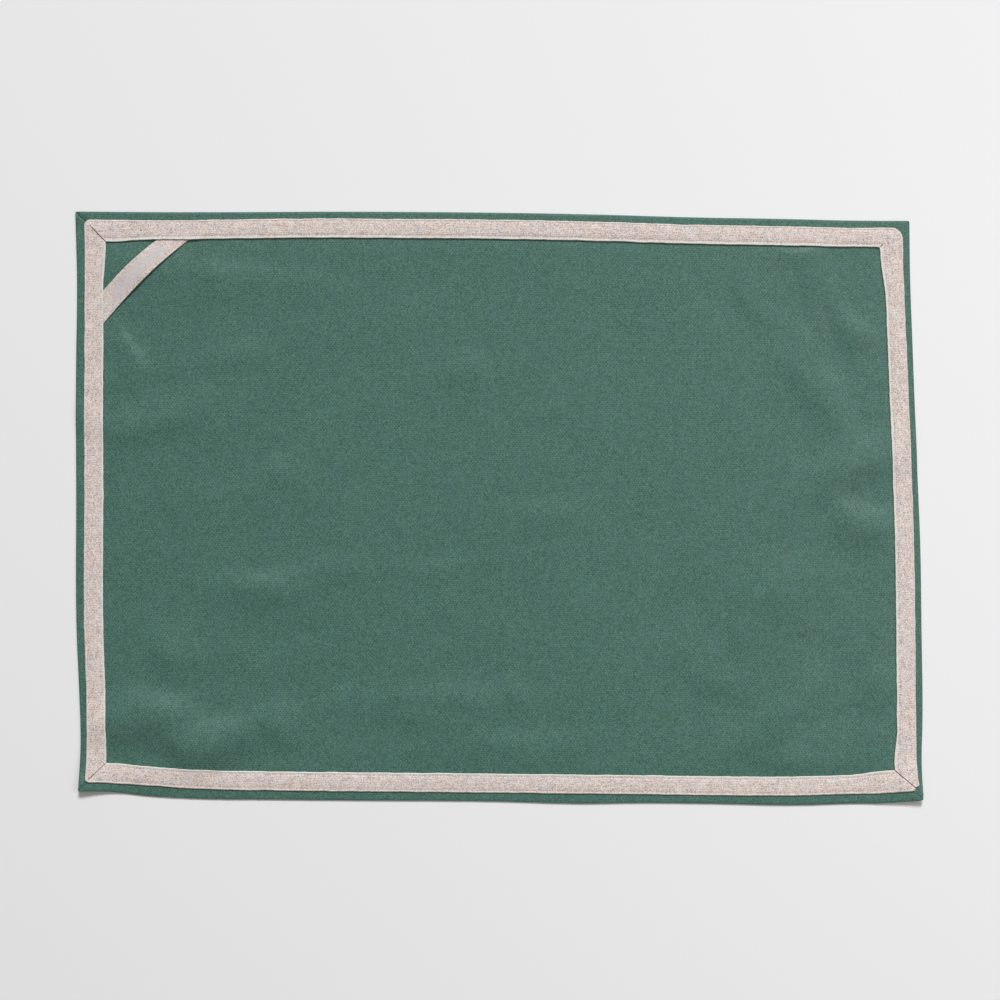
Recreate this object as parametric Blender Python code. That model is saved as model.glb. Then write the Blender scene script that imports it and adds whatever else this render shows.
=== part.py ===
"""Fabric placemat: a hemmed cotton-linen mat, edged with one linen tape, with a tape loop over one corner.

The mat lies face up, where its hem is turned in. Lengths are in millimetres and become metres
where a mesh is made. +X runs along the mat, +Y towards the side that carries the loop's upper end.
"""

import math
from collections import namedtuple

import bmesh
import bpy
import numpy as np

MM = 0.001

# Cut and cloth
MAT_LENGTH = 430.0
MAT_WIDTH = 300.0
CLOTH_THICKNESS = 1.0
HEM_THICKNESS = 2.0 * CLOTH_THICKNESS
HEM_TURN_IN = 10.5
HEM_STEP = 0.6
FOLD_ROUNDING = 0.7
CLOTH_CORNER_CUT = 0.35
FIELD_START = 18.0
FIELD_COLUMNS = 32
FIELD_ROWS = 36

# Edging tape and corner loop, one width of linen tape
GAP = 0.3
TAPE_WIDTH = 9.8
TAPE_THICKNESS = 1.0
TAPE_SELVEDGE = 1.0
TAPE_LINES = 5
SELVEDGE_LOW = 0.2
SELVEDGE_HIGH = 0.7
MITRE_GROOVE = 0.35
MITRE_HALF_WIDTH = 0.4
INNER_FAN = 1.2
END_SEAM_HALF = 0.25
LOOP_ARCH = 0.8
LOOP_STATIONS = 18
LOOP_COVER_FLAT = 6.5
LOOP_COVER_FADE = 11.0

# Each side, read along its length: where its folded edge lies, and how much cloth shows outside
# the tape. The mat was cut and hemmed by eye, so no side is quite straight.
Side = namedtuple("Side", "along edge border")
TOP = (
    Side(-215, 151.8, 3.9),
    Side(-178, 151.4, 4.3),
    Side(-127, 151.4, 3.7),
    Side(-50, 151.5, 3.5),
    Side(0, 151.0, 3.4),
    Side(51, 150.1, 3.6),
    Side(103, 148.5, 3.6),
    Side(154, 147.6, 3.5),
    Side(215, 147.1, 3.5),
)
BOTTOM = (
    Side(-215, -144.5, 5.2),
    Side(-200, -144.8, 4.4),
    Side(-180, -147.1, 5.3),
    Side(-155, -148.4, 5.2),
    Side(-76, -149.4, 4.9),
    Side(0, -150.2, 5.0),
    Side(51, -151.1, 5.2),
    Side(103, -151.1, 4.5),
    Side(154, -151.8, 5.1),
    Side(192, -151.0, 5.2),
    Side(215, -149.2, 5.6),
)
LEFT = (
    Side(-150, -215.0, 3.5),
    Side(-124, -214.1, 3.2),
    Side(-98, -214.9, 3.7),
    Side(-67, -216.2, 4.0),
    Side(0, -216.4, 4.2),
    Side(66, -216.5, 4.4),
    Side(117, -216.0, 4.1),
    Side(150, -216.5, 4.6),
)
RIGHT = (
    Side(-150, 216.8, 1.6),
    Side(-131, 216.1, 2.5),
    Side(-110, 216.6, 3.4),
    Side(-60, 216.1, 3.3),
    Side(-19, 215.5, 3.3),
    Side(22, 213.9, 3.1),
    Side(83, 211.6, 3.2),
    Side(124, 210.1, 3.4),
    Side(150, 209.6, 3.6),
)

# Soft ridges that the cloth keeps from being folded away. Each crest runs from one point to
# another and bows to its left; its height falls off over its reach, and to a share at its far end.
Fold = namedtuple("Fold", "x0 y0 x1 y1 bow height reach far")
FOLDS = (
    Fold(-196, -104, -124, -120, 3.5, 2.6, 24, 0.6),
    Fold(-196, 44, -158, 42, 0.0, 1.3, 13, 0.6),
    Fold(-196, 87, -176, 80, 0.0, 1.2, 14, 0.7),
    Fold(-152, 76, -122, 76, 0.0, 0.5, 9, 1.0),
    Fold(-152, -42, 34, -20, 0.0, 0.5, 10, 0.6),
    Fold(-36, -99, 26, -96, 0.0, 0.8, 11, 1.0),
    Fold(-14, -122, 34, -122, 0.0, 0.7, 10, 1.0),
    Fold(197, 29, 172, 20, 0.0, 1.3, 14, 0.5),
    Fold(197, -10, 174, -11, 0.0, 1.3, 14, 0.5),
    Fold(149, 93, 172, 55, 0.0, 0.8, 11, 0.8),
    Fold(166, 117, 185, 84, 0.0, 0.8, 11, 0.8),
    Fold(98, -77, 128, -92, 0.0, 0.6, 11, 1.0),
    Fold(139, -110, 167, -82, 0.0, 0.8, 10, 1.0),
    Fold(144, -38, 168, -38, 0.0, 0.6, 13, 1.0),
)

# Two corners have curled up a little off the surface.
Curl = namedtuple("Curl", "x y height reach")
CURLS = (
    Curl(-215.0, -144.5, 3.2, 32),
    Curl(216.8, -149.0, 2.6, 32),
)

# The hem's section, from its folded edge inwards.
Ring = namedtuple("Ring", "inset low high")
HEM_RINGS = (
    Ring(0.0, 0.6, 1.4),
    Ring(FOLD_ROUNDING, 0.0, HEM_THICKNESS),
    Ring(HEM_TURN_IN, 0.0, HEM_THICKNESS),
    Ring(HEM_TURN_IN + HEM_STEP, 0.0, CLOTH_THICKNESS),
)

# The corners in the order in which the tape goes round: how round it turns at each of them, how
# far the bulk of its fold fills the inside of the turn, and whether it is folded into a mitre.
# It starts and ends at the lower right one, where it doesn't turn and has no radius.
Corner = namedtuple("Corner", "side_x side_y radius fill mitred")
LOWER_LEFT = Corner(-1, -1, 2.2, 0.5, True)
UPPER_LEFT = Corner(-1, 1, 3.4, 0.1, True)
UPPER_RIGHT = Corner(1, 1, 4.6, 0.4, False)
LOWER_RIGHT = Corner(1, -1, 0.0, 1.7, True)
CORNERS = (LOWER_LEFT, UPPER_LEFT, UPPER_RIGHT, LOWER_RIGHT)
FILL_FADE = 22.0
MITRE_ANGLE = 45.0
ARC_START = (90.0, 67.5)
ARC_END = (22.5, 0.0)

# Where the two ends meet they were cut a little short of the corner: points of their outer edge,
# from the bottom run's end over the notch between them to the right run's end, as distances back
# from the corner that the two runs would make.
JOIN_OUTLINE = ((6.0, 0.0), (2.0, 0.2), (1.3, 1.7), (-0.5, 3.0), (0.0, 6.5))

# The loop's two edges, from its end under the left run of tape to its end under the top run.
Edge = namedtuple("Edge", "x0 y0 x1 y1 bow")
LOOP_UPPER = Edge(-204.5, 109.0, -171.9, 139.8, 1.2)
LOOP_LOWER = Edge(-204.5, 91.8, -155.5, 139.8, 2.0)


def read_side(rows, column, at):
    """Reads one column of a side's table, smoothly between its rows."""
    places = np.array([row.along for row in rows], dtype=float)
    values = np.array([getattr(row, column) for row in rows], dtype=float)
    slopes = np.gradient(values, places)
    k = int(np.clip(np.searchsorted(places, at) - 1, 0, len(rows) - 2))
    span = places[k + 1] - places[k]
    t = (at - places[k]) / span
    rise = t * t * (3.0 - 2.0 * t)
    start_pull = t * (1.0 - t) ** 2 * span * slopes[k]
    end_pull = t * t * (t - 1.0) * span * slopes[k + 1]
    return values[k] + (values[k + 1] - values[k]) * rise + start_pull + end_pull


def place(a, b):
    """Moves a point of the true rectangle to where it lies on the uneven mat."""
    half_a = MAT_LENGTH / 2.0
    half_b = MAT_WIDTH / 2.0
    right_share = (a + half_a) / MAT_LENGTH
    top_share = (b + half_b) / MAT_WIDTH
    left_shift = read_side(LEFT, "edge", b) + half_a
    right_shift = read_side(RIGHT, "edge", b) - half_a
    bottom_shift = read_side(BOTTOM, "edge", a) + half_b
    top_shift = read_side(TOP, "edge", a) - half_b
    x = a + left_shift * (1.0 - right_share) + right_shift * right_share
    y = b + bottom_shift * (1.0 - top_share) + top_shift * top_share
    return x, y


def swell(share):
    """A soft hump: 1 at its crest, 0 from its reach outwards."""
    if share >= 1.0:
        return 0.0
    return 0.5 + 0.5 * math.cos(math.pi * share)


def fold_height(fold, x, y):
    """How far one ridge lifts the cloth at a point."""
    run_x = fold.x1 - fold.x0
    run_y = fold.y1 - fold.y0
    length = math.hypot(run_x, run_y)
    along = ((x - fold.x0) * run_x + (y - fold.y0) * run_y) / length
    aside = ((y - fold.y0) * run_x - (x - fold.x0) * run_y) / length
    share = min(max(along / length, 0.0), 1.0)
    past_end = along - share * length
    off_crest = aside - 4.0 * fold.bow * share * (1.0 - share)
    height = fold.height * (1.0 + (fold.far - 1.0) * share)
    return height * swell(math.hypot(past_end, off_crest) / fold.reach)


def lie(x, y):
    """Height of the mat's underside above the surface: its ridges and its curled corners."""
    height = sum(fold_height(fold, x, y) for fold in FOLDS)
    for curl in CURLS:
        away = math.hypot(x - curl.x, y - curl.y)
        height += curl.height * max(0.0, 1.0 - away / curl.reach) ** 2
    return height


def inset_of(a, b):
    """Distance from a point of the true rectangle to its nearest edge."""
    return min(MAT_LENGTH / 2.0 - abs(a), MAT_WIDTH / 2.0 - abs(b))


def material(name, colour, roughness):
    """A plain coloured cloth material."""
    made = bpy.data.materials.new(name)
    made.use_nodes = True
    shader = made.node_tree.nodes["Principled BSDF"]
    shader.inputs["Base Color"].default_value = (*colour, 1.0)
    shader.inputs["Roughness"].default_value = roughness
    shader.inputs["Metallic"].default_value = 0.0
    made.diffuse_color = (*colour, 1.0)
    return made


def thick_sheet(name, columns, rows, point, cloth):
    """A closed sheet made from a grid: point(i, j) gives x, y, its underside and its upper side."""
    mesh = bmesh.new()
    bmesh.ops.create_grid(mesh, x_segments=columns - 1, y_segments=rows - 1, size=1.0)
    number_of = mesh.verts.layers.int.new("number")
    for number, vert in enumerate(mesh.verts):
        vert[number_of] = number
    raised = bmesh.ops.extrude_face_region(mesh, geom=mesh.faces[:], use_keep_orig=True)
    upper = {item for item in raised["geom"] if isinstance(item, bmesh.types.BMVert)}
    for vert in mesh.verts:
        j, i = divmod(vert[number_of], columns)
        x, y, low, high = point(i, j)
        z = high if vert in upper else low
        vert.co = (x * MM, y * MM, z * MM)
    bmesh.ops.recalc_face_normals(mesh, faces=mesh.faces[:])
    data = bpy.data.meshes.new(name)
    mesh.to_mesh(data)
    mesh.free()
    data.materials.append(cloth)
    data.shade_smooth()
    data.set_sharp_from_angle(angle=math.radians(40))
    sheet = bpy.data.objects.new(name, data)
    bpy.context.collection.objects.link(sheet)
    return sheet


def cloth_lines(length, cells):
    """Grid lines across the mat: the hem's own at both edges, even ones over the field."""
    hem = [ring.inset - length / 2.0 for ring in HEM_RINGS]
    field = np.linspace(FIELD_START - length / 2.0, length / 2.0 - FIELD_START, cells + 1)
    return hem + [float(line) for line in field] + [-line for line in reversed(hem)]


COLUMN_LINES = cloth_lines(MAT_LENGTH, FIELD_COLUMNS)
ROW_LINES = cloth_lines(MAT_WIDTH, FIELD_ROWS)


def make_cloth():
    """The hemmed cloth: one layer over the field, two where the hem is turned in."""

    def ring_number(index, lines):
        return min(index, len(lines) - 1 - index)

    def point(i, j):
        a = COLUMN_LINES[i]
        b = ROW_LINES[j]
        column_ring = ring_number(i, COLUMN_LINES)
        row_ring = ring_number(j, ROW_LINES)
        if column_ring == 0 and row_ring == 0:
            a -= math.copysign(CLOTH_CORNER_CUT, a)
            b -= math.copysign(CLOTH_CORNER_CUT, b)
        x, y = place(a, b)
        ring = HEM_RINGS[min(column_ring, row_ring, len(HEM_RINGS) - 1)]
        ground = lie(x, y)
        return x, y, ground + ring.low, ground + ring.high

    green = material("green_cotton_linen_canvas", (0.080, 0.160, 0.129), 0.92)
    return thick_sheet("mat_cloth", len(COLUMN_LINES), len(ROW_LINES), point, green)


def over_loop(x, y):
    """1 where a run of tape passes over an end of the loop, fading to 0 beside it."""
    middle_x0 = (LOOP_UPPER.x0 + LOOP_LOWER.x0) / 2.0
    middle_y0 = (LOOP_UPPER.y0 + LOOP_LOWER.y0) / 2.0
    run_x = (LOOP_UPPER.x1 + LOOP_LOWER.x1) / 2.0 - middle_x0
    run_y = (LOOP_UPPER.y1 + LOOP_LOWER.y1) / 2.0 - middle_y0
    aside = abs((y - middle_y0) * run_x - (x - middle_x0) * run_y) / math.hypot(run_x, run_y)
    return min(max((LOOP_COVER_FADE - aside) / (LOOP_COVER_FADE - LOOP_COVER_FLAT), 0.0), 1.0)


def border_of(side_x, side_y, at):
    """Bare cloth outside the tape on one side; the unused side is 0."""
    if side_x:
        return read_side(LEFT if side_x < 0 else RIGHT, "border", at)
    return read_side(BOTTOM if side_y < 0 else TOP, "border", at)


def tape_width_at(side_x, side_y, at):
    """Width of one run of tape, which widens a little towards a corner that fills its turn."""
    width = TAPE_WIDTH
    half = MAT_LENGTH / 2.0 if side_y else MAT_WIDTH / 2.0
    for corner in CORNERS:
        on_run = corner.side_y == side_y if side_y else corner.side_x == side_x
        if on_run:
            corner_at = half * (corner.side_x if side_y else corner.side_y)
            from_turn = max(abs(at - corner_at) - FIELD_START, 0.0)
            width += corner.fill * swell(from_turn / FILL_FADE)
    return width


def corner_point(corner, inset_a, inset_b):
    """A point given by its distances from the two edges that meet at a corner."""
    a = corner.side_x * (MAT_LENGTH / 2.0 - inset_a)
    b = corner.side_y * (MAT_WIDTH / 2.0 - inset_b)
    return a, b


def turn_outline(corner):
    """The tape's outer edge round a corner, as distances back from the sharp corner."""
    if not corner.radius:
        return JOIN_OUTLINE
    beside_mitre = math.degrees(MITRE_HALF_WIDTH / corner.radius)
    mitre = (MITRE_ANGLE + beside_mitre, MITRE_ANGLE, MITRE_ANGLE - beside_mitre)
    outline = []
    for angle in ARC_START + mitre + ARC_END:
        turn = math.radians(angle)
        back_a = corner.radius * (1.0 - math.cos(turn))
        back_b = corner.radius * (1.0 - math.sin(turn))
        outline.append((back_a, back_b))
    return outline


def corner_lines(corner):
    """Cross lines of the tape round a corner, from the run along X to the run along Y."""
    last_row = corner.side_y * (MAT_WIDTH / 2.0 - FIELD_START)
    last_column = corner.side_x * (MAT_LENGTH / 2.0 - FIELD_START)
    outer_a = border_of(corner.side_x, 0, last_row)
    outer_b = border_of(0, corner.side_y, last_column)
    inner_a = outer_a + tape_width_at(corner.side_x, 0, last_row)
    inner_b = outer_b + tape_width_at(0, corner.side_y, last_column)
    outline = turn_outline(corner)
    middle = len(outline) // 2
    lines = []
    for k, (back_a, back_b) in enumerate(outline):
        past = INNER_FAN * (middle - k) / middle
        outer = corner_point(corner, outer_a + back_a, outer_b + back_b)
        inner = corner_point(corner, inner_a + max(past, 0.0), inner_b + max(-past, 0.0))
        grooved = corner.mitred and k == middle
        lines.append((outer, inner, grooved))
    return lines


def run_lines(side_x, side_y):
    """Cross lines of one straight run of tape, at the cloth's own grid lines."""
    crossings = COLUMN_LINES if side_y else ROW_LINES
    field = crossings[len(HEM_RINGS):-len(HEM_RINGS)]
    lines = []
    for at in field:
        border = border_of(side_x, side_y, at)
        covered = border + tape_width_at(side_x, side_y, at)
        if side_y:
            outer = (at, side_y * (MAT_WIDTH / 2.0 - border))
            inner = (at, side_y * (MAT_WIDTH / 2.0 - covered))
        else:
            outer = (side_x * (MAT_LENGTH / 2.0 - border), at)
            inner = (side_x * (MAT_LENGTH / 2.0 - covered), at)
        lines.append((outer, inner, False))
    return lines


def tape_lines():
    """All cross lines of the tape, from the lower right seam clockwise back to it."""
    seam = corner_lines(LOWER_RIGHT)
    middle = len(seam) // 2
    lines = list(reversed(seam[:middle + 1]))
    lines += list(reversed(run_lines(0, -1)))
    lines += corner_lines(LOWER_LEFT)
    lines += run_lines(-1, 0)
    lines += list(reversed(corner_lines(UPPER_LEFT)))
    lines += run_lines(0, 1)
    lines += corner_lines(UPPER_RIGHT)
    lines += list(reversed(run_lines(1, 0)))
    lines += list(reversed(seam[middle:]))
    return lines


def make_tape():
    """The edging: one length of tape laid over the hem's raw edge, its ends meeting at a mitre."""
    lines = tape_lines()
    last = len(lines) - 1

    def point(i, j):
        outer, inner, grooved = lines[j]
        outer_inset = inset_of(*outer)
        inner_inset = inset_of(*inner)
        hem_share = (HEM_TURN_IN - outer_inset) / (inner_inset - outer_inset)
        selvedge_share = TAPE_SELVEDGE / TAPE_WIDTH
        share = (0.0, selvedge_share, hem_share, 1.0 - selvedge_share, 1.0)[i]
        a = outer[0] + (inner[0] - outer[0]) * share
        b = outer[1] + (inner[1] - outer[1]) * share
        if j == 0:
            a -= END_SEAM_HALF
        if j == last:
            b += END_SEAM_HALF
        x, y = place(a, b)
        down = max(0.0, (share - hem_share) / (1.0 - hem_share))
        seat = HEM_THICKNESS + (CLOTH_THICKNESS - HEM_THICKNESS) * down
        if share >= hem_share:
            loop_top = CLOTH_THICKNESS + GAP + TAPE_THICKNESS
            seat += (loop_top - seat) * over_loop(x, y)
        ground = lie(x, y) + seat + GAP
        if i in (0, TAPE_LINES - 1):
            return x, y, ground + SELVEDGE_LOW, ground + SELVEDGE_HIGH
        groove = MITRE_GROOVE if grooved else 0.0
        return x, y, ground, ground + TAPE_THICKNESS - groove

    linen = material("natural_linen_tape", (0.620, 0.560, 0.515), 0.88)
    return thick_sheet("edge_tape", TAPE_LINES, len(lines), point, linen)


def edge_point(edge, share):
    """A point along one of the loop's bowed edges."""
    run_x = edge.x1 - edge.x0
    run_y = edge.y1 - edge.y0
    length = math.hypot(run_x, run_y)
    bow = 4.0 * edge.bow * share * (1.0 - share)
    x = edge.x0 + run_x * share - run_y / length * bow
    y = edge.y0 + run_y * share + run_x / length * bow
    return x, y


def make_loop():
    """The corner loop: a short tape across the corner, its ends caught under the edging."""
    selvedge_share = TAPE_SELVEDGE / TAPE_WIDTH
    across = (0.0, selvedge_share, 0.5, 1.0 - selvedge_share, 1.0)

    def point(i, j):
        share = j / (LOOP_STATIONS - 1)
        upper_x, upper_y = edge_point(LOOP_UPPER, share)
        lower_x, lower_y = edge_point(LOOP_LOWER, share)
        x = upper_x + (lower_x - upper_x) * across[i]
        y = upper_y + (lower_y - upper_y) * across[i]
        arch = LOOP_ARCH * math.sin(math.pi * share) ** 2
        ground = lie(x, y) + CLOTH_THICKNESS + GAP + arch
        if i in (0, TAPE_LINES - 1) or j in (0, LOOP_STATIONS - 1):
            return x, y, ground + SELVEDGE_LOW, ground + SELVEDGE_HIGH
        return x, y, ground, ground + TAPE_THICKNESS

    linen = material("natural_linen_tape_loop", (0.630, 0.575, 0.535), 0.88)
    return thick_sheet("corner_loop", TAPE_LINES, LOOP_STATIONS, point, linen)


for leftover in list(bpy.data.objects):
    bpy.data.objects.remove(leftover, do_unlink=True)

make_cloth()
make_tape()
make_loop()
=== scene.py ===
import math
from collections import namedtuple

import bmesh
import bpy
import numpy as np
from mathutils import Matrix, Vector, noise


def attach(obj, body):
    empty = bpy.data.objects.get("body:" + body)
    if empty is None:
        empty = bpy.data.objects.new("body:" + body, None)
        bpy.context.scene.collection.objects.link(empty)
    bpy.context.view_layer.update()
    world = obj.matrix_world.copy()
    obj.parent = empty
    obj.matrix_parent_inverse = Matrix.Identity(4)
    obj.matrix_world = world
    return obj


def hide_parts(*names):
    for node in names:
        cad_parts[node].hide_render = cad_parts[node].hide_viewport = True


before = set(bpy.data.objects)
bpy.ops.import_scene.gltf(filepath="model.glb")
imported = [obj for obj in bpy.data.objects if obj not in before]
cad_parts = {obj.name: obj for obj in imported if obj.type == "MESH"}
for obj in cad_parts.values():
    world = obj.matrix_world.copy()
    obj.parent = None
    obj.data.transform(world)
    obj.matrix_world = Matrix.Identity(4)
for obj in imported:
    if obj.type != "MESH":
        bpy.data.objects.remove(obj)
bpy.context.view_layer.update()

# ------------------------------------------------
# Table top and light. The mat lies on a smooth, pale, matt painted board. A large softbox far
# behind its long side and a broad one near its right end light it, and it is seen from straight
# above.
# ------------------------------------------------
MM = 0.001
VIEW_WIDTH = 511.0
VIEW_CENTRE_X = 0.43
VIEW_CENTRE_Y = 4.27
LENS = 85.0
SENSOR = 36.0
FACE_HEIGHT = 2.0
BOARD_SIZE = 40.0
BOARD_HEX = "E6E6E6"
ROOM_HEX = "FFF9F1"
ROOM_STRENGTH = 0.22
Softbox = namedtuple("Softbox", "name x y z size power colour")
SOFTBOXES = (
    Softbox("far_softbox", 0.65, 6.6, 6.2, 2.4, 831.0, "F9FBFF"),
    Softbox("near_softbox", 0.7, 0.05, 0.9, 0.6, 2.8, "FEFCFA"),
)


def linear(hex_colour):
    """A colour written as sRGB hex, as the linear values that shaders and lights take."""
    channels = [int(hex_colour[k:k + 2], 16) / 255.0 for k in (0, 2, 4)]
    return tuple(c / 12.92 if c <= 0.04045 else ((c + 0.055) / 1.055) ** 2.4 for c in channels)


def new_material(name):
    """An empty node material, ready for its pattern and shader."""
    made = bpy.data.materials.new(name)
    made.use_nodes = True
    made.node_tree.nodes.clear()
    return made


def node(tree, kind, settings=(), **inputs):
    """Adds a shader node with its settings. Each input is a value or the socket it is linked to."""
    added = tree.nodes.new("ShaderNode" + kind)
    for setting, value in dict(settings).items():
        setattr(added, setting, value)
    for key, value in inputs.items():
        socket = added.inputs[int(key[1:]) if key[1:].isdigit() else key.replace("_", " ")]
        if isinstance(value, bpy.types.NodeSocket):
            tree.links.new(value, socket)
        else:
            socket.default_value = value
    return added


def deselect():
    """Leaves nothing selected, in object mode."""
    bpy.ops.object.select_all(action="DESELECT")


room = bpy.data.worlds.new("pale_room")
room.use_nodes = True
bpy.context.scene.world = room
room_light = room.node_tree.nodes["Background"]
room_light.inputs["Color"].default_value = (*linear(ROOM_HEX), 1.0)
room_light.inputs["Strength"].default_value = ROOM_STRENGTH

for box in SOFTBOXES:
    box_place = Vector((box.x, box.y, box.z))
    box_turn = box_place.to_track_quat("Z", "Y").to_euler()
    bpy.ops.object.light_add(type="AREA", location=box_place, rotation=box_turn)
    lamp = bpy.context.object
    lamp.name = box.name
    lamp.data.size = box.size
    lamp.data.energy = box.power
    lamp.data.color = linear(box.colour)

camera_height = VIEW_WIDTH * LENS / SENSOR + FACE_HEIGHT
camera_place = (VIEW_CENTRE_X * MM, VIEW_CENTRE_Y * MM, camera_height * MM)
bpy.ops.object.camera_add(location=camera_place, rotation=(0.0, 0.0, 0.0))
camera = bpy.context.object
camera.data.lens = LENS
camera.data.sensor_width = SENSOR
bpy.context.scene.camera = camera
bpy.context.scene.view_settings.view_transform = "Standard"

deselect()
bpy.ops.mesh.primitive_plane_add(size=BOARD_SIZE)
board = bpy.context.object
board.name = "pale_board"
# Matt white wall paint, rolled on a board: no gloss, and a faint orange-peel grain.
ROLLED_GRAIN = 1.6
board_paint = new_material("matt_white_paint_rolled")
tree = board_paint.node_tree
in_metres = node(tree, "TexCoord").outputs["Object"]
peel = node(tree, "TexNoise", Vector=in_metres, Scale=1.0 / (ROLLED_GRAIN * MM)).outputs["Fac"]
bump = node(tree, "Bump", Strength=0.1, Distance=0.02 * MM, Height=peel).outputs[0]
shader = node(tree, "BsdfPrincipled", Base_Color=(*linear(BOARD_HEX), 1.0), Roughness=0.8,
              Normal=bump)
node(tree, "OutputMaterial", Surface=shader.outputs["BSDF"])
board.data.materials.append(board_paint)

# ------------------------------------------------
# The mat's cloth. One rectangle of washed cotton-linen canvas, cut 451 x 321 mm. Its edge is turned
# in once to the face that shows, 10.5 mm all round, and mitred at the corners; the raw edge lies
# under the edging. It has kept soft ridges from being folded away, and two corners have curled.
# ------------------------------------------------
MAT_LENGTH = 430.0
MAT_WIDTH = 300.0
HALF_LENGTH = MAT_LENGTH / 2.0
HALF_WIDTH = MAT_WIDTH / 2.0
CLOTH_LAYER = 0.45
LAYER_STEP = 0.5
FOLD_RADIUS = LAYER_STEP / 2.0
FOLD_STEPS = 6
HEM_RINGS = (1.6, 2.6, 3.8, 5.4, 7.4, 9.2, 10.5)
CANVAS_COLUMNS = 232
CANVAS_ROWS = 160
FINER_AT_EDGES = 0.4
RIM_ITSELF = 0.01
RIM_LINE = 0.42
RIM_REACH = 1.5
ROUND_TOP = 0.8
ROUND_LOWER_RIGHT = 1.3
ROUND_LOWER_LEFT = 0.5

# Each side, read along its length: where its folded edge lies, and how much cloth shows outside
# the tape. The mat was cut and hemmed by eye, so no side is quite straight.
Side = namedtuple("Side", "along edge border")
TOP = (
    Side(-215, 151.9, 4.0),
    Side(-178, 151.6, 4.4),
    Side(-127, 151.6, 3.8),
    Side(-85, 151.8, 3.6),
    Side(-50, 151.7, 3.7),
    Side(0, 151.3, 3.7),
    Side(51, 150.4, 3.8),
    Side(103, 148.9, 3.9),
    Side(154, 148.0, 3.9),
    Side(182, 147.3, 3.9),
    Side(215, 147.1, 3.5),
)
BOTTOM = (
    Side(-215, -144.5, 5.2),
    Side(-200, -144.8, 4.5),
    Side(-180, -147.0, 5.3),
    Side(-155, -148.4, 5.0),
    Side(-115, -148.9, 4.6),
    Side(-76, -149.3, 4.5),
    Side(0, -149.9, 4.4),
    Side(40, -151.0, 5.0),
    Side(75, -150.6, 4.3),
    Side(103, -150.9, 4.2),
    Side(154, -151.7, 4.9),
    Side(178, -151.0, 4.9),
    Side(192, -150.9, 5.1),
    Side(215, -149.2, 5.6),
)
LEFT = (
    Side(-150, -215.0, 3.5),
    Side(-124, -214.1, 3.2),
    Side(-98, -214.9, 3.7),
    Side(-67, -216.2, 4.0),
    Side(0, -216.4, 4.2),
    Side(66, -216.5, 4.4),
    Side(117, -216.0, 4.1),
    Side(150, -216.9, 5.0),
)
RIGHT = (
    Side(-150, 216.8, 1.6),
    Side(-131, 216.1, 2.5),
    Side(-110, 216.6, 3.4),
    Side(-60, 216.1, 3.3),
    Side(-19, 215.5, 3.3),
    Side(22, 213.9, 3.1),
    Side(83, 211.6, 3.2),
    Side(124, 210.2, 3.5),
    Side(150, 209.9, 3.8),
)

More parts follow.
